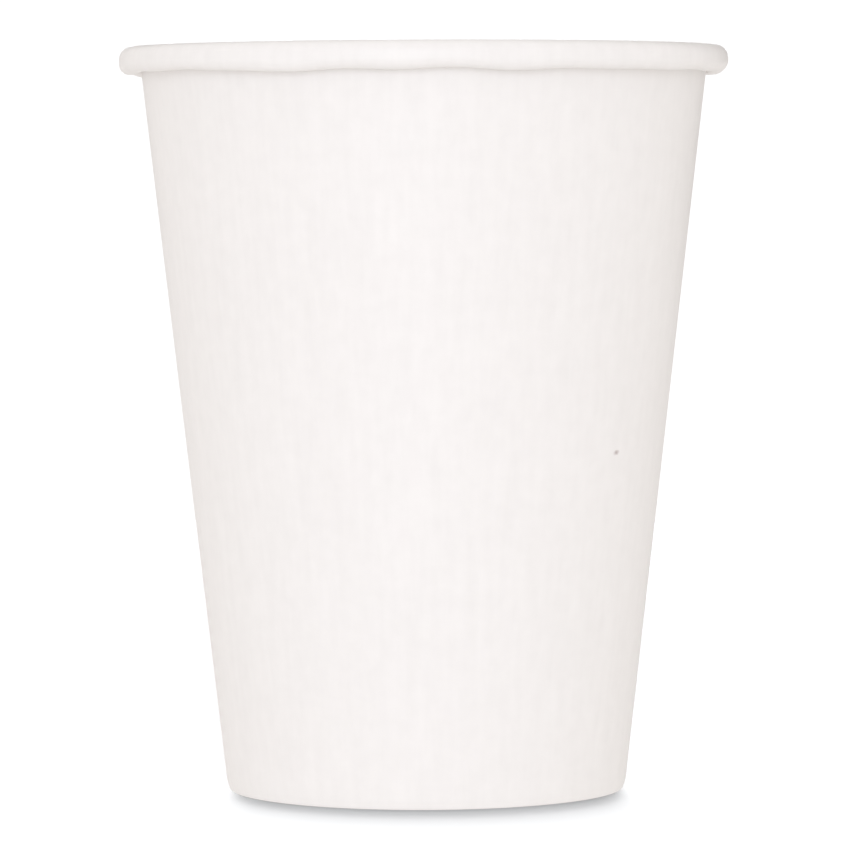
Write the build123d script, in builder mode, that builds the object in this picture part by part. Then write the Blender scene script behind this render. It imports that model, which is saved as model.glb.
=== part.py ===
from build123d import *
import os
from math import atan2, cos, degrees, pi, radians, tan

# A paper cold cup in two pieces of coated board: the sidewall, wrapped into a cone with a lap seam,
# rolled over at the rim and hemmed at the foot, and the drawn disc that the hem clamps.
# Millimetres, +Z up, with the origin on the cup's axis in the plane of the foot.

# The cup as a whole
cup_height = 110.0
rim_diameter = 90.0  # over the roll, the size that a lid is made to
foot_diameter = 59.0  # outside the wall, at the table

# Board of the sidewall, and the seam where its two ends lap at the back
board = 0.32
lap_width = 7.0  # both plies, at the middle of the cup's height
step_width = 2.5  # where the outer ply comes down past the end of the inner one

# Rolled rim, on the face that shows
roll_overhang = 3.3  # from the wall's outer face to the outside of the roll
roll_height = 4.05
roll_corner_radius = 1.5  # between the outside of the roll and its underside
crest_outer_share = 0.6  # of the crest's width, for its bend on the outer side
tuck_gap = 0.05  # between the last turn and the outer ply in the seam
tail_height = 1.9  # the end of the board, hidden in the roll

# Foot hem, folded in and up round the skirt of the disc
hem_height = 6.6

# Drawn disc
disc_board = 0.28
disc_recess = 7.3  # from the table to the underside of the disc
shoulder_radius = 0.9
seal_gap = 0.03  # between the skirt and the board around it

# Each round bend is drawn as this many flats, all tangent to its arc
roll_corner_flat_count = 1
crest_outer_flat_count = 2
crest_inner_flat_count = 1
shoulder_flat_count = 1

rim_radius = rim_diameter / 2
foot_radius = foot_diameter / 2
roll_underside = cup_height - roll_height
mouth_radius = rim_radius - roll_overhang
taper = atan2(mouth_radius - foot_radius, roll_underside)
hem_pocket = disc_board + 2 * seal_gap


def wall_radius(height, depth=0):
    """Radius at a height, at a depth under the wall's outer face, measured square to it."""
    return foot_radius + height * tan(taper) - depth / cos(taper)


crest_width = rim_radius - wall_radius(cup_height, board)
crest_outer_radius = crest_outer_share * crest_width
crest_inner_radius = (crest_width - crest_outer_radius) / tan((pi / 2 - taper) / 2)

# Azimuths in degrees, anticlockwise from +X. The lap is centred at the back, on +Y, so that the rim's
# full radius is found on all four sides.
middle_radius = wall_radius(cup_height / 2)
lap_angle = degrees(lap_width / middle_radius)
step_angle = degrees(step_width / middle_radius)
back = degrees(pi / 2)
outer_edge = back - lap_angle / 2  # cut end of the outer ply, on the outside
inner_edge = back + lap_angle / 2  # cut end of the inner ply, on the inside
step_end = inner_edge + step_angle
full_turn = degrees(2 * pi)


def radial_plane(azimuth):
    """The plane through the axis in which X is the radius and Y is the height."""
    return Plane.XZ.rotated((0, 0, azimuth))


def bend(before, corner, after, radius, flat_count):
    """The points that stand in for a corner between two straight runs, where the board goes round an
    arc of this radius: the flats between them touch the arc."""
    inward = (Vector(corner) - Vector(before)).normalized()
    onward = (Vector(after) - Vector(corner)).normalized()
    turn = inward.get_signed_angle(onward, Axis.Z.direction)
    step = turn / (flat_count + 1)
    reach = radius * (tan(radians(abs(turn)) / 2) - tan(radians(abs(step)) / 2))
    side = 2 * radius * tan(radians(abs(step)) / 2)
    points = [Vector(corner) - inward * reach]
    for flat in range(flat_count):
        points.append(points[-1] + inward.rotate(Axis.Z, step * (flat + 1)) * side)
    return points


def board_line(depth, fold):
    """The whole path of the board, from its end in the roll, over the crest and down the wall, to the
    top of the hem, at a depth under the lining face: the inside of the cup and the outside of the roll.
    The foot is folded at the height given."""
    side = rim_radius - depth
    crest = cup_height - depth
    underside = roll_underside + depth
    wall_depth = board - depth
    tail_depth = -board - tuck_gap - depth
    hem_depth = board + hem_pocket + depth
    tail_end = (wall_radius(roll_underside + tail_height, tail_depth), roll_underside + tail_height)
    tuck = (wall_radius(underside, tail_depth), underside)
    low_corner = (side, underside)
    high_corner = (side, crest)
    lip_corner = (wall_radius(crest, wall_depth), crest)
    wall_foot = (wall_radius(fold, wall_depth), fold)
    hem_foot = (wall_radius(fold, hem_depth), fold)
    hem_top = (wall_radius(hem_height, hem_depth), hem_height)
    return Polyline(
        tail_end,
        tuck,
        *bend(tuck, low_corner, high_corner, roll_corner_radius - depth, roll_corner_flat_count),
        *bend(low_corner, high_corner, lip_corner, crest_outer_radius - depth, crest_outer_flat_count),
        *bend(high_corner, lip_corner, wall_foot, crest_inner_radius - depth, crest_inner_flat_count),
        wall_foot,
        hem_foot,
        hem_top,
    )


def board_section(azimuth, near_face, far_face):
    """The board cut through at an azimuth, between two depths under the lining face. The fold is
    pressed flat at the table, one board thick, in the seam too."""
    with BuildSketch(radial_plane(azimuth)) as section:
        with BuildLine():
            near = board_line(near_face, board)
            far = board_line(far_face, 0)
            Line(near @ 0, far @ 0)
            Line(near @ 1, far @ 1)
        make_face()
    return section.sketch


# One ply all the way round to the lap, two plies in the lap, and the step where the outer ply, past
# the end of the inner one, comes back to the cup's own surface.
with BuildPart() as sidewall:
    revolve(
        board_section(step_end, 0, board),
        axis=Axis.Z,
        revolution_arc=full_turn - lap_angle - step_angle,
    )
    revolve(board_section(outer_edge, 0, 2 * board), axis=Axis.Z, revolution_arc=lap_angle)
    loft([board_section(inner_edge, board, 2 * board), board_section(step_end, 0, board)], ruled=True)


def disc_line(depth):
    """The disc from its centre, over the shoulder and down the skirt, at a depth under its upper face."""
    face = disc_recess + disc_board - depth
    skirt_end = board + seal_gap
    skirt_depth = board + seal_gap + depth
    centre = (0, face)
    shoulder = (wall_radius(face, skirt_depth), face)
    skirt_foot = (wall_radius(skirt_end, skirt_depth), skirt_end)
    return Polyline(
        centre,
        *bend(centre, shoulder, skirt_foot, shoulder_radius - depth, shoulder_flat_count),
        skirt_foot,
    )


with BuildPart() as bottom_disc:
    with BuildSketch(Plane.XZ):
        with BuildLine():
            upper = disc_line(0)
            lower = disc_line(disc_board)
            Line(upper @ 0, lower @ 0)
            Line(upper @ 1, lower @ 1)
        make_face()
    revolve(axis=Axis.Z)

sidewall.part.label = "sidewall"
bottom_disc.part.label = "bottom_disc"

os.makedirs("parts", exist_ok=True)
export_step(sidewall.part, "parts/sidewall.step")
export_step(bottom_disc.part, "parts/bottom_disc.step")
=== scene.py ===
from math import atan2, cos, pi, radians, sin, tan

import bpy
import numpy as np
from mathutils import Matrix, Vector


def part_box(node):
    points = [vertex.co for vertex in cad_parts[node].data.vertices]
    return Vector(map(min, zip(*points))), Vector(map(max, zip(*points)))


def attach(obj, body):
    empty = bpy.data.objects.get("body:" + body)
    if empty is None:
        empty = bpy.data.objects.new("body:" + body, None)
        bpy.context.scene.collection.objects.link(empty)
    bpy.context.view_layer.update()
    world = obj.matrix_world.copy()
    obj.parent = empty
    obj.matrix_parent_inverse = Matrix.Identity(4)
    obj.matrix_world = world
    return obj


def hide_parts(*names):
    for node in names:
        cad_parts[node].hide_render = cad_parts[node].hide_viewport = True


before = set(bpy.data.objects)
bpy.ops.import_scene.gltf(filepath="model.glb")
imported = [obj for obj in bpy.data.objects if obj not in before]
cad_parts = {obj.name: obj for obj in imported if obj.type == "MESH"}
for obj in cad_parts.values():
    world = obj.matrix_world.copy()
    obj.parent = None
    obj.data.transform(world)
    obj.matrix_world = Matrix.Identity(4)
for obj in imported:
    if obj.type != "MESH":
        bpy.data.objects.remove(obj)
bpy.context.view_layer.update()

# The sidewall: one blank of white board with a film of plastic on its faces, wound into a cone and lapped
# at the back. A tool rolls its top edge outwards into the rim. Its bottom edge is folded in and up, and a
# wheel presses ridges into the hem to seal it. Sizes are in metres.
wall_low, wall_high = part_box("sidewall")
cup_height = wall_high.z
rim_radius = min(wall_high.x, -wall_low.y)
foot_radius = 0.0295
board = 0.00032
fold_radius = 0.00008  # inside the fold of the hem
foot_draw = 0.00035  # how far the folding tool draws the foot in, at the table
foot_draw_height = 0.0018
roll_overhang = 0.0033
roll_height = 0.00405
roll_corner_radius = 0.0015
crest_outer_share = 0.6
tuck_radius = 0.0007
tuck_gap = 0.00005
tail_height = 0.0019
hem_height = 0.0066
hem_pocket = 0.00034
lap_width = 0.007
step_width = 0.0025
lap_film = 0.00001  # melted film between the plies

roll_underside = cup_height - roll_height
mouth_radius = rim_radius - roll_overhang
taper = atan2(mouth_radius - foot_radius, roll_underside)
middle_radius = (foot_radius + mouth_radius) / 2
quarter_turn = pi / 2
full_turn = 2 * pi


def wall_radius(height, depth):
    """Radius at a height, at a depth under the wall's outer face, measured square to it: a cone, less the
    foot's draw, which grows by the square of the distance from its upper end down to the table."""
    drawn_in = foot_draw * np.clip(1 - height / foot_draw_height, 0, 1) ** 2
    return foot_radius + height * tan(taper) - depth / cos(taper) - drawn_in


crest_width = rim_radius - wall_radius(cup_height, board)
crest_outer_radius = crest_outer_share * crest_width
crest_inner_radius = (crest_width - crest_outer_radius) / tan((quarter_turn - taper) / 2)


def arc(centre, radius, start, end, steps, side):
    """Stations round a bend, in even steps of angle: the lining is at the centre plus the radius along the
    direction, and the board's depth runs along that direction (side 1) or against it (side -1)."""
    angle = np.linspace(start, end, steps + 1)
    direction = np.stack([np.cos(angle), np.sin(angle)], axis=1)
    return np.array(centre) + radius * direction, side * direction


def foot_run(depth, start, end, steps, direction, side):
    """Stations down or up the drawn-in foot, in even steps of height, all with one direction."""
    height = np.linspace(start, end, steps + 1)
    along = np.tile([cos(direction), sin(direction)], (len(height), 1))
    return np.stack([wall_radius(height, depth), height], axis=1), side * along


def join(bends, steps):
    """Joins bends by straight runs: the steps give how many parts lie between one bend's last station and
    the next one's first, and both the place and the direction go evenly from one to the other. Where two
    bends meet, the station that repeats the one before is left out."""
    same_place = 1e-9
    rows = [np.hstack(bends[0])]
    for bend, parts in zip(bends[1:], steps):
        onward = np.hstack(bend)
        share = (np.arange(1, parts) / parts)[:, None]
        rows += [rows[-1][-1] * (1 - share) + onward[0] * share, onward]
    rows = np.concatenate(rows)
    repeated = np.isclose(rows[1:], rows[:-1], atol=same_place).all(axis=1)
    rows = rows[np.append(True, ~repeated)]
    return rows[:, :2], rows[:, 2:]


# The path of the lining from the hidden end of the roll, round the roll, down the wall and up the hem
tuck_height = roll_underside + tuck_radius
tuck_centre = (wall_radius(tuck_height, -board - tuck_gap) + tuck_radius / cos(taper), tuck_height)
tail_top = roll_underside + tail_height
tail_end = (wall_radius(tail_top, -board - tuck_gap), tail_top)
low_corner_centre = (rim_radius - roll_corner_radius, roll_underside + roll_corner_radius)
crest_outer_centre = (rim_radius - crest_outer_radius, cup_height - crest_outer_radius)
lip_height = cup_height - crest_inner_radius
crest_inner_centre = (wall_radius(lip_height, board) + crest_inner_radius / cos(taper), lip_height)
fold_height = board + fold_radius
wall_fold = (wall_radius(fold_height, board + fold_radius), fold_height)
hem_fold = (wall_radius(fold_height, board + hem_pocket - fold_radius), fold_height)
hem_top = (wall_radius(hem_height, board + hem_pocket), hem_height)
station, through = join(
    [
        arc(tail_end, 0, pi - taper, pi - taper, 0, -1),
        arc(tuck_centre, tuck_radius, pi - taper, 1.5 * pi, 4, -1),
        arc(low_corner_centre, roll_corner_radius, -quarter_turn, 0, 7, -1),
        arc(crest_outer_centre, crest_outer_radius, 0, quarter_turn, 10, -1),
        arc(crest_inner_centre, crest_inner_radius, quarter_turn, pi - taper, 8, -1),
        foot_run(board, foot_draw_height, fold_height, 5, -taper, 1),
        arc(wall_fold, fold_radius, -taper, -quarter_turn, 4, 1),
        arc(hem_fold, fold_radius, -quarter_turn, -pi - taper, 4, 1),
        foot_run(board + hem_pocket, fold_height, foot_draw_height, 5, -pi - taper, 1),
        arc(hem_top, 0, -pi - taper, -pi - taper, 0, 1),
    ],
    [1, 2, 1, 1, 8, 1, 1, 1, 5],
)
path_radius, path_height = station.T

# Azimuths of the columns from the outer ply's cut edge to the inner ply's, once round and over the lap
lap_angle = lap_width / middle_radius
step_angle = step_width / middle_radius
outer_edge = quarter_turn - lap_angle / 2
inner_edge = quarter_turn + lap_angle / 2
step_end = inner_edge + step_angle
seam_stops = np.array(
    [outer_edge, inner_edge, step_end, outer_edge - step_angle, outer_edge, inner_edge]
) + full_turn * np.array([0, 0, 0, 1, 1, 1])
seam_steps = np.array([8, 6, 690, 6, 8])
azimuth = np.interp(np.arange(seam_steps.sum() + 1), np.append(0, seam_steps.cumsum()), seam_stops)
outer_ply = np.interp(azimuth, seam_stops[:3], [1, 1, 0])
shares_fold = np.interp(azimuth, seam_stops, [1, 1, 0, 0, 1, 1])
from_front = azimuth + quarter_turn


def surface(name, x, y, z, faces, material_index, materials):
    """A mesh of points, given as arrays, and faces, given as rows of point numbers. Smooth, apart from
    edges that turn more than the crease angle."""
    crease = radians(40)
    mesh = bpy.data.meshes.new(name)
    mesh.from_pydata(np.stack([x, y, z], axis=-1).reshape(-1, 3), [], faces)
    for material in materials:
        mesh.materials.append(material)
    mesh.polygons.foreach_set("material_index", np.asarray(material_index, dtype=np.int32))
    mesh.polygons.foreach_set("use_smooth", np.ones(len(mesh.polygons), dtype=bool))
    mesh.set_sharp_from_angle(angle=crease)
    piece = bpy.data.objects.new(name, mesh)
    bpy.context.scene.collection.objects.link(piece)
    return piece


def roll_wave(angle):
    """Height that the roll's lower edge is off level, as a rolling tool leaves it in dry board: a few sine
    waves added up, each with its count round the cup, its height and its phase."""
    waves = [
        (3, 0.00011, -1.46),
        (5, 0.00011, 1.06),
        (8, 0.0001, 2.41),
        (14, 0.00009, -0.12),
        (18, 0.00009, -0.24),
    ]
    return sum(height * np.sin(count * angle + phase) for count, height, phase in waves)


def hem_ridges(angle, height):
    """How deep the sealing wheel presses the hem at each place: round-bottomed grooves side by side, from
    the lower to the upper end of the wheel's mark, fading over its soft ends."""
    groove_count = 138
    groove_depth = 0.00011
    mark_low, mark_high, soft_end = 0.0010, 0.0056, 0.0006
    groove = 0.5 - 0.5 * np.cos(groove_count * angle)
    band = np.clip((height - mark_low) / soft_end, 0, 1) * np.clip((mark_high - height) / soft_end, 0, 1)
    return groove_depth * groove * band


def wrap_blank():
    """The blank's two faces over the grid of stations and columns. A point is the station, plus its depth
    along the direction through the board: nothing on the lining, one board on the outside, and one board
    and the film more on the outer ply. In the fold the plies share the thickness of one board."""
    on_hem = path_radius < wall_radius(path_height, board + hem_pocket / 2)
    in_fold = (path_height < fold_height) & (through[:, 1] < 0)
    on_roll = path_radius > wall_radius(path_height, -tuck_gap)
    lowered = on_roll * np.clip((lip_height - path_height) / (lip_height - roll_underside), 0, 1)
    press = np.where(in_fold[:, None], board / (board + shares_fold * (board + lap_film)), 1)
    lift = lowered[:, None] * roll_wave(from_front)
    ridges = on_hem[:, None] * hem_ridges(azimuth, path_height[:, None])
    lining = outer_ply * (board + lap_film) * np.ones_like(lift)
    radii, heights = [], []
    for depth in (lining, lining + board - ridges):
        radii.append(path_radius[:, None] + through[:, :1] * depth)
        heights.append(path_height[:, None] + through[:, 1:] * depth * press + lift)
    return np.concatenate([radii[0], radii[1][::-1]]), np.concatenate([heights[0], heights[1][::-1]])


def loop_faces(loops, columns):
    """Faces between neighbouring columns of closed loops, then the two cut ends of the blank, each closed
    by faces from a point of the lining to the point behind it. The points are numbered row by row."""
    row = np.arange(loops)[:, None] * columns
    next_row = np.roll(row, -1, axis=0)
    column = np.arange(columns - 1)[None, :]
    body = np.stack([row + column, row + column + 1, next_row + column + 1, next_row + column], axis=-1)
    body = body.reshape(-1, 4)
    near = np.arange(loops // 2 - 1)
    far = loops - 1 - near
    first = np.stack([near, near + 1, far - 1, far], axis=-1) * columns
    last = first[:, ::-1] + columns - 1
    return np.concatenate([body, first, last]), len(body)


def board_grain():
    """The look of paper board from a place on it. Tone: clouds of thicker and thinner stock a millimetre or
    two wide, with streaks along the height, as the fibres lie. Relief: the same and single fibres, as a
    height."""
    group = bpy.data.node_groups.new("board_grain", "ShaderNodeTree")
    group.interface.new_socket("Place", in_out="INPUT", socket_type="NodeSocketVector")
    group.interface.new_socket("Streaks", in_out="INPUT", socket_type="NodeSocketFloat")
    group.interface.new_socket("Tone", in_out="OUTPUT", socket_type="NodeSocketFloat")
    group.interface.new_socket("Relief", in_out="OUTPUT", socket_type="NodeSocketFloat")
    nodes, link = group.nodes, group.links.new
    place = nodes.new("NodeGroupInput")
    result = nodes.new("NodeGroupOutput")
    along_height = nodes.new("ShaderNodeVectorMath")
    along_height.operation = "MULTIPLY"
    along_height.inputs[1].default_value = (1, 1, 0.08)
    link(place.outputs["Place"], along_height.inputs[0])
    noises = {}
    for name, source, scale, detail in (
        ("clouds", place.outputs["Place"], 420, 3),
        ("streaks", along_height.outputs["Vector"], 700, 2),
        ("fibres", place.outputs["Place"], 3800, 3),
    ):
        noise = nodes.new("ShaderNodeTexNoise")
        noise.name = name
        noise.inputs["Scale"].default_value = scale
        noise.inputs["Detail"].default_value = detail
        link(source, noise.inputs["Vector"])
        noises[name] = noise.outputs["Fac"]
    streaked = nodes.new("ShaderNodeMix")
    link(place.outputs["Streaks"], streaked.inputs["Factor"])
    link(noises["clouds"], streaked.inputs["A"])
    link(noises["streaks"], streaked.inputs["B"])
    tone = nodes.new("ShaderNodeMapRange")
    tone.inputs["From Min"].default_value = 0.3
    tone.inputs["From Max"].default_value = 0.7
    link(streaked.outputs["Result"], tone.inputs["Value"])
    link(tone.outputs["Result"], result.inputs["Tone"])
    relief = nodes.new("ShaderNodeMix")
    relief.inputs["Factor"].default_value = 0.4
    link(streaked.outputs["Result"], relief.inputs["A"])
    link(noises["fibres"], relief.inputs["B"])
    link(relief.outputs["Result"], result.inputs["Relief"])
    return group


grain = board_grain()


def board_finish(name, thin, thick, smoothest, roughest, relief, streaks):
    """A board's material: its colour goes from the thin to the thick stock, and its roughness from
    smoothest to roughest, by the grain's tone. The grain stands up by the relief, and the streaks are
    their share in the grain."""
    material = bpy.data.materials.new(name)
    material.use_nodes = True
    nodes, link = material.node_tree.nodes, material.node_tree.links.new
    shader = nodes["Principled BSDF"]
    shader.inputs["IOR"].default_value = 1.49
    place = nodes.new("ShaderNodeTexCoord")
    board_look = nodes.new("ShaderNodeGroup")
    board_look.node_tree = grain
    board_look.inputs["Streaks"].default_value = streaks
    link(place.outputs["Object"], board_look.inputs["Place"])
    colour = nodes.new("ShaderNodeMix")
    colour.data_type = "RGBA"
    colour.name = "stock"
    colour.inputs["A"].default_value = (*thin, 1)
    colour.inputs["B"].default_value = (*thick, 1)
    link(board_look.outputs["Tone"], colour.inputs["Factor"])
    link(colour.outputs["Result"], shader.inputs["Base Color"])
    roughness = nodes.new("ShaderNodeMapRange")
    roughness.inputs["To Min"].default_value = smoothest
    roughness.inputs["To Max"].default_value = roughest
    link(board_look.outputs["Tone"], roughness.inputs["Value"])
    link(roughness.outputs["Result"], shader.inputs["Roughness"])
    bump = nodes.new("ShaderNodeBump")
    bump.inputs["Distance"].default_value = relief
    link(board_look.outputs["Relief"], bump.inputs["Height"])
    link(bump.outputs["Normal"], shader.inputs["Normal"])
    return material


def add_speck(material, azimuth_right, height, radius, colour):
    """A fleck of bark in the stock: a small uneven spot, wider than high. It is dark in its core and fades
    out to its edge, by the distance from its centre, with heights counted more, plus a fine noise."""
    nodes, link = material.node_tree.nodes, material.node_tree.links.new
    stock = nodes["stock"]
    shader = nodes["Principled BSDF"]
    out = wall_radius(height, 0)
    height_weight = 1.6
    core_share, edge_share = 0.6, 1.6
    place = nodes.new("ShaderNodeTexCoord")
    weighted = nodes.new("ShaderNodeVectorMath")
    weighted.operation = "MULTIPLY"
    weighted.inputs[1].default_value = (1, 1, height_weight)
    link(place.outputs["Object"], weighted.inputs[0])
    distance = nodes.new("ShaderNodeVectorMath")
    distance.operation = "DISTANCE"
    distance.inputs[1].default_value = (
        out * sin(azimuth_right),
        -out * cos(azimuth_right),
        height_weight * height,
    )
    link(weighted.outputs["Vector"], distance.inputs[0])
    shake = nodes.new("ShaderNodeTexNoise")
    shake.inputs["Scale"].default_value = 1 / radius
    link(place.outputs["Object"], shake.inputs["Vector"])
    uneven = nodes.new("ShaderNodeMath")
    uneven.operation = "MULTIPLY_ADD"
    uneven.inputs[1].default_value = radius
    link(shake.outputs["Fac"], uneven.inputs[0])
    link(distance.outputs["Value"], uneven.inputs[2])
    spot = nodes.new("ShaderNodeMapRange")
    spot.inputs["From Min"].default_value = core_share * radius
    spot.inputs["From Max"].default_value = edge_share * radius
    spot.inputs["To Min"].default_value = 1
    spot.inputs["To Max"].default_value = 0
    link(uneven.outputs["Value"], spot.inputs["Value"])
    flecked = nodes.new("ShaderNodeMix")
    flecked.data_type = "RGBA"
    flecked.inputs["B"].default_value = (*colour, 1)
    link(spot.outputs["Result"], flecked.inputs["Factor"])
    link(stock.outputs["Result"], flecked.inputs["A"])
    link(flecked.outputs["Result"], shader.inputs["Base Color"])


coated_board = board_finish(
    "coated_board",
    thin=(0.855, 0.838, 0.822),
    thick=(0.895, 0.878, 0.862),
    smoothest=0.42,
    roughest=0.52,
    relief=0.000006,
    streaks=0.5,
)
cut_board = board_finish(
    "cut_board",
    thin=(0.76, 0.72, 0.66),
    thick=(0.88, 0.85, 0.80),
    smoothest=0.8,
    roughest=0.95,
    relief=0.00003,
    streaks=0,
)
add_speck(
    coated_board,
    azimuth_right=radians(51.4),
    height=0.0509,
    radius=0.00072,
    colour=(0.50, 0.43, 0.42),
)
blank_radius, blank_height = wrap_blank()
blank_faces, wrapped_count = loop_faces(len(blank_radius), len(azimuth))
# Raw board shows on the strips across its thickness at the path's two ends, and on the two cut ends
strip_number = np.arange(wrapped_count) // (len(azimuth) - 1)
is_raw = np.isin(strip_number, [len(station) - 1, 2 * len(station) - 1])
board_index = np.concatenate([is_raw, np.ones(len(blank_faces) - wrapped_count)])
wrapped_sidewall = surface(
    "wrapped_sidewall",
    blank_radius * np.cos(azimuth),
    blank_radius * np.sin(azimuth),
    blank_height,
    blank_faces,
    board_index,
    [coated_board, cut_board],
)
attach(wrapped_sidewall, "root")
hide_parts("sidewall")

# The bottom: a disc punched from thinner board and drawn by a plunger, which turns its edge down into a
# skirt with fine pleats round the shoulder. The hem of the sidewall grips the skirt, and melted film
# seals it.
disc_board = 0.00028
disc_recess = 0.0073
shoulder_radius = 0.0009
seal_gap = 0.00003
flat_steps = 24
disc_columns = 504
disc_top = disc_recess + disc_board
skirt_end = board + seal_gap
shoulder_height = disc_top - shoulder_radius
shoulder_centre = (
    wall_radius(shoulder_height, board + seal_gap) - shoulder_radius / cos(taper),
    shoulder_height,
)
flat_radius = shoulder_centre[0]
hub_radius = flat_radius / flat_steps
disc_station, disc_through = join(
    [
        arc((hub_radius, disc_top), 0, quarter_turn, quarter_turn, 0, -1),
        arc(shoulder_centre, shoulder_radius, quarter_turn, -taper, 10, -1),
        foot_run(board + seal_gap, foot_draw_height, skirt_end, 5, -taper, -1),
    ],
    [flat_steps, 4],
)


def draw_disc(angle):
    """The disc's two faces, from the hub out to the shoulder and down the skirt, and back under it. The
    flat sags a little towards its middle, by the square of the distance from the shoulder, and the pleats
    are shallow waves round the shoulder that fade towards the middle."""
    sag = 0.00018
    pleat_count = 84
    pleat_depth = 0.000025
    pleat_reach = 0.0035
    out, up = disc_station.T
    dished = -sag * np.clip(1 - out / flat_radius, 0, 1) ** 2
    near_shoulder = np.clip((out - flat_radius) / pleat_reach + 1, 0, 1) * (up > shoulder_height)
    pleats = -pleat_depth * near_shoulder[:, None] * (0.5 - 0.5 * np.cos(pleat_count * angle))
    radii, heights = [], []
    for depth in (0, disc_board):
        radii.append((out + disc_through[:, 0] * depth)[:, None] * np.ones_like(angle))
        heights.append((up + dished + disc_through[:, 1] * depth)[:, None] + pleats)
    return np.concatenate([radii[0], radii[1][::-1]]), np.concatenate([heights[0], heights[1][::-1]])


def ring_faces(rings, columns):
    """Faces between closed rings from the first to the last, and two fans that close the first and the last
    ring to a point each: those two points come after all the rings."""
    row = np.arange(rings - 1)[:, None] * columns
    next_row = row + columns
    column = np.arange(columns)[None, :]
    after = (column + 1) % columns
    bands = np.stack([row + column, next_row + column, next_row + after, row + after], axis=-1)
    bands = bands.reshape(-1, 4)
    last_ring = (rings - 1) * columns
    first_point, last_point = rings * columns, rings * columns + 1
    column, after = column[0], after[0]
    first_fan = np.stack([np.full(columns, first_point), column, after], axis=-1)
    last_fan = np.stack([np.full(columns, last_point), last_ring + after, last_ring + column], axis=-1)
    return [*bands.tolist(), *first_fan.tolist(), *last_fan.tolist()]


base_board = board_finish(
    "base_board",
    thin=(0.85, 0.833, 0.817),
    thick=(0.89, 0.873, 0.857),
    smoothest=0.42,
    roughest=0.52,
    relief=0.000006,
    streaks=0,
)
disc_azimuth = np.linspace(0, full_turn, disc_columns, endpoint=False)
disc_radius, disc_height = draw_disc(disc_azimuth)
disc_middle = disc_height[[0, -1]].mean(axis=1)
disc_faces = ring_faces(len(disc_radius), len(disc_azimuth))
drawn_disc = surface(
    "drawn_disc",
    np.append(disc_radius * np.cos(disc_azimuth), [0, 0]),
    np.append(disc_radius * np.sin(disc_azimuth), [0, 0]),
    np.append(disc_height, disc_middle),
    disc_faces,
    np.zeros(len(disc_faces)),
    [base_board],
)
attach(drawn_disc, "root")
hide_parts("bottom_disc")

# The floor: a smooth, matt, grey sheet, which its own lamps clear to white. It throws as even a light on
# the cup as the tent does, and from underneath it isn't seen. It is stage, and no part of the cup.
floor_radius = 0.6
floor_sides = 96
floor_colour = (0.49, 0.51, 0.525)
thrown_colour = (0.90, 0.868, 0.848)
floor_angle = np.linspace(0, full_turn, floor_sides, endpoint=False)
floor_material = bpy.data.materials.new("floor")
floor_material.use_nodes = True
floor_nodes, floor_link = floor_material.node_tree.nodes, floor_material.node_tree.links.new
floor_shader = floor_nodes["Principled BSDF"]
floor_shader.inputs["Base Color"].default_value = (*floor_colour, 1)
floor_shader.inputs["Roughness"].default_value = 0.9
floor_shader.inputs["Specular IOR Level"].default_value = 0
thrown_light = floor_nodes.new("ShaderNodeEmission")
thrown_light.inputs["Color"].default_value = (*thrown_colour, 1)
clear = floor_nodes.new("ShaderNodeBsdfTransparent")
floor_ray = floor_nodes.new("ShaderNodeLightPath")
floor_side = floor_nodes.new("ShaderNodeNewGeometry")
from_above = floor_nodes.new("ShaderNodeMixShader")
either_side = floor_nodes.new("ShaderNodeMixShader")
floor_link(floor_ray.outputs["Is Camera Ray"], from_above.inputs[0])
floor_link(thrown_light.outputs["Emission"], from_above.inputs[1])
floor_link(floor_shader.outputs["BSDF"], from_above.inputs[2])
floor_link(floor_side.outputs["Backfacing"], either_side.inputs[0])
floor_link(from_above.outputs["Shader"], either_side.inputs[1])
floor_link(clear.outputs["BSDF"], either_side.inputs[2])
floor_link(either_side.outputs["Shader"], floor_nodes["Material Output"].inputs["Surface"])
floor = surface(
    "floor",
    floor_radius * np.cos(floor_angle),
    floor_radius * np.sin(floor_angle),
    np.zeros_like(floor_angle),
    [np.arange(len(floor_angle)).tolist()],
    [0],
    [floor_material],
)

# The light: an even, slightly warm white tent, seen as pure white, a large soft lamp in front, a smaller
# one behind, and two dark flags at the back that draw the cup's edges. More lamps at the back clear the
# floor. Only a small shade in the recess of the foot stands in their way, so that the shadow stays short.
tent_colour = (0.912, 0.88, 0.86)
world = bpy.data.worlds.new("tent")
bpy.context.scene.world = world
world.use_nodes = True
tent = world.node_tree
tent_light = tent.nodes["Background"]
tent_light.inputs["Color"].default_value = (*tent_colour, 1)
tent_seen = tent.nodes.new("ShaderNodeBackground")
tent_seen.inputs["Color"].default_value = (1, 1, 1, 1)
tent_seen.inputs["Strength"].default_value = 1.08  # as bright as the cleared floor, so that no edge shows
tent_ray = tent.nodes.new("ShaderNodeLightPath")
tent_or_white = tent.nodes.new("ShaderNodeMixShader")
tent.links.new(tent_ray.outputs["Is Camera Ray"], tent_or_white.inputs[0])
tent.links.new(tent_light.outputs["Background"], tent_or_white.inputs[1])
tent.links.new(tent_seen.outputs["Background"], tent_or_white.inputs[2])
tent.links.new(tent_or_white.outputs["Shader"], tent.nodes["World Output"].inputs["Surface"])


def lamp(name, kind, azimuth_right, elevation, distance):
    """A lamp that faces the cup from an azimuth to the right of the front, an elevation and a distance."""
    data = bpy.data.lights.new(name, kind)
    holder = bpy.data.objects.new(name, data)
    bpy.context.scene.collection.objects.link(holder)
    level = distance * cos(elevation)
    to_lamp = Vector((level * sin(azimuth_right), -level * cos(azimuth_right), distance * sin(elevation)))
    holder.location = to_lamp + Vector((0, 0, cup_height / 2))
    holder.rotation_euler = to_lamp.to_track_quat("Z", "Y").to_euler()
    holder.visible_camera = False
    return holder


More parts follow.
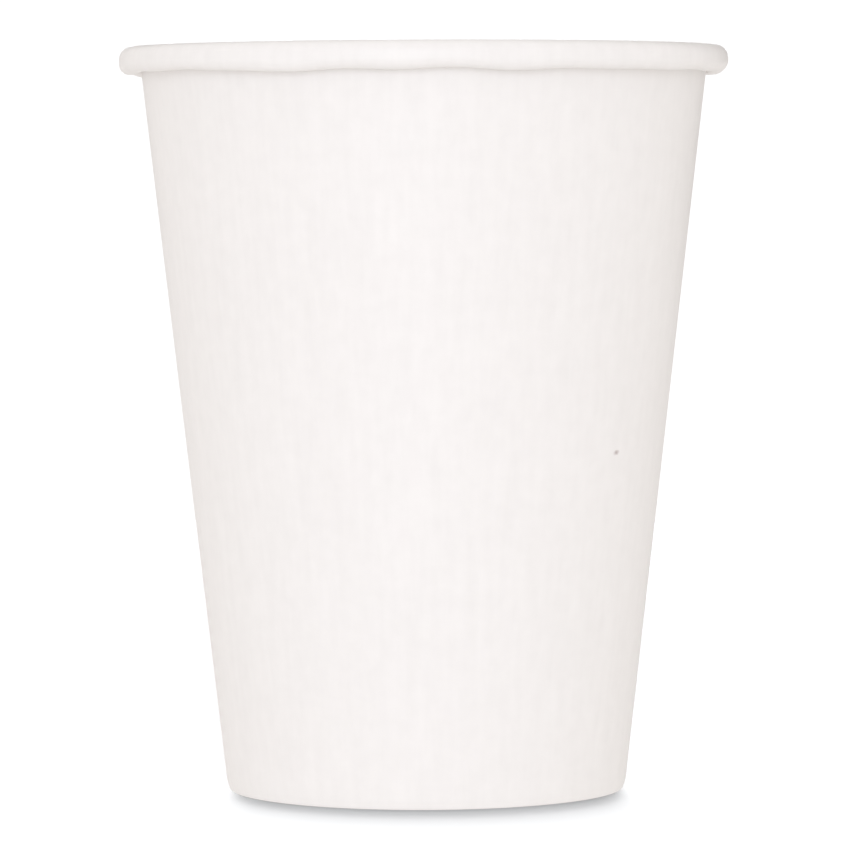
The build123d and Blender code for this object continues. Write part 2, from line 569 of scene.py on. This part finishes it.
soft_lamp_distance = 1.5
soft_lamp_colour = (0.81, 0.87, 1)
for name, azimuth_right, elevation, size, energy in (
    ("front_lamp", radians(-5), radians(10), 0.8, 5.2),
    ("back_lamp", radians(180), radians(5), 0.4, 9),
):
    soft_lamp = lamp(name, "AREA", azimuth_right, elevation, soft_lamp_distance)
    soft_lamp.data.shape = "DISK"
    soft_lamp.data.size = size
    soft_lamp.data.energy = energy
    soft_lamp.data.color = soft_lamp_colour


def stage_sheet(name, x, y, z, grey):
    """A flat grey sheet with its outline through these points, that no camera sees."""
    material = bpy.data.materials.new(name)
    material.use_nodes = True
    material.node_tree.nodes["Principled BSDF"].inputs["Base Color"].default_value = (grey, grey, grey, 1)
    sheet = surface(name, x, y, z, [np.arange(len(x)).tolist()], [0], [material])
    sheet.visible_camera = False
    return sheet


flag_distance = 1.7
flag_height = 2.5
flag_grey = 0.05
for name, inner_azimuth, outer_azimuth in (
    ("right_flag", radians(8), radians(45)),
    ("left_flag", radians(-4), radians(-22)),
):
    corner_azimuth = np.array([inner_azimuth, outer_azimuth, outer_azimuth, inner_azimuth])
    stage_sheet(
        name,
        flag_distance * np.sin(corner_azimuth),
        flag_distance * np.cos(corner_azimuth),
        flag_height * np.array([0, 0, 1, 1]),
        flag_grey,
    )
shade_radius = 0.0287
shade_height = 0.007
shade_grey = 0.5
foot_shade = stage_sheet(
    "foot_shade",
    shade_radius * np.cos(floor_angle),
    shade_radius * np.sin(floor_angle),
    np.full_like(floor_angle, shade_height),
    shade_grey,
)
foot_shade.visible_diffuse = False
foot_shade.visible_glossy = False
lit_by_floor_lamps = bpy.data.collections.new("lit_by_floor_lamps")
lit_by_floor_lamps.objects.link(floor)
shades_floor_lamps = bpy.data.collections.new("shades_floor_lamps")
shades_floor_lamps.objects.link(foot_shade)
floor_lamp_azimuth = radians(181.5)
floor_lamp_elevations = np.radians([66, 45, 34, 27, 17])
floor_lamp_width = radians(13)
floor_lamp_colour = (1, 0.96, 0.94)
floor_lamp_light = 1.27  # on the floor, from all of them, beside a tent of strength 1
for number, elevation in enumerate(floor_lamp_elevations):
    floor_lamp = lamp(f"floor_lamp_{number}", "SUN", floor_lamp_azimuth, elevation, 1)
    floor_lamp.data.angle = floor_lamp_width
    floor_lamp.data.color = floor_lamp_colour
    floor_lamp.data.energy = floor_lamp_light * pi / len(floor_lamp_elevations) / sin(elevation)
    floor_lamp.light_linking.receiver_collection = lit_by_floor_lamps
    floor_lamp.light_linking.blocker_collection = shades_floor_lamps

# The camera: level with the upper part of the cup, 0.8 m away, with a long lens. It looks down by a few
# degrees, and leans by a fifth of one.
camera_distance = 0.7946
camera_height = 0.0926
camera_pitch = radians(2.788)
camera_roll = radians(-0.22)
picture_size = 850
focal_length = 5361
camera_data = bpy.data.cameras.new("camera")
camera_data.lens = focal_length / picture_size * camera_data.sensor_width
camera = bpy.data.objects.new("camera", camera_data)
bpy.context.scene.collection.objects.link(camera)
camera.location = (0, -camera_distance, camera_height)
camera.rotation_mode = "ZXY"
camera.rotation_euler = (quarter_turn - camera_pitch, 0, camera_roll)
bpy.context.scene.camera = camera
bpy.context.scene.view_settings.view_transform = "Standard"
bpy.context.scene.cycles.diffuse_bounces = 12  # light goes on from wall to wall in the deep white cup
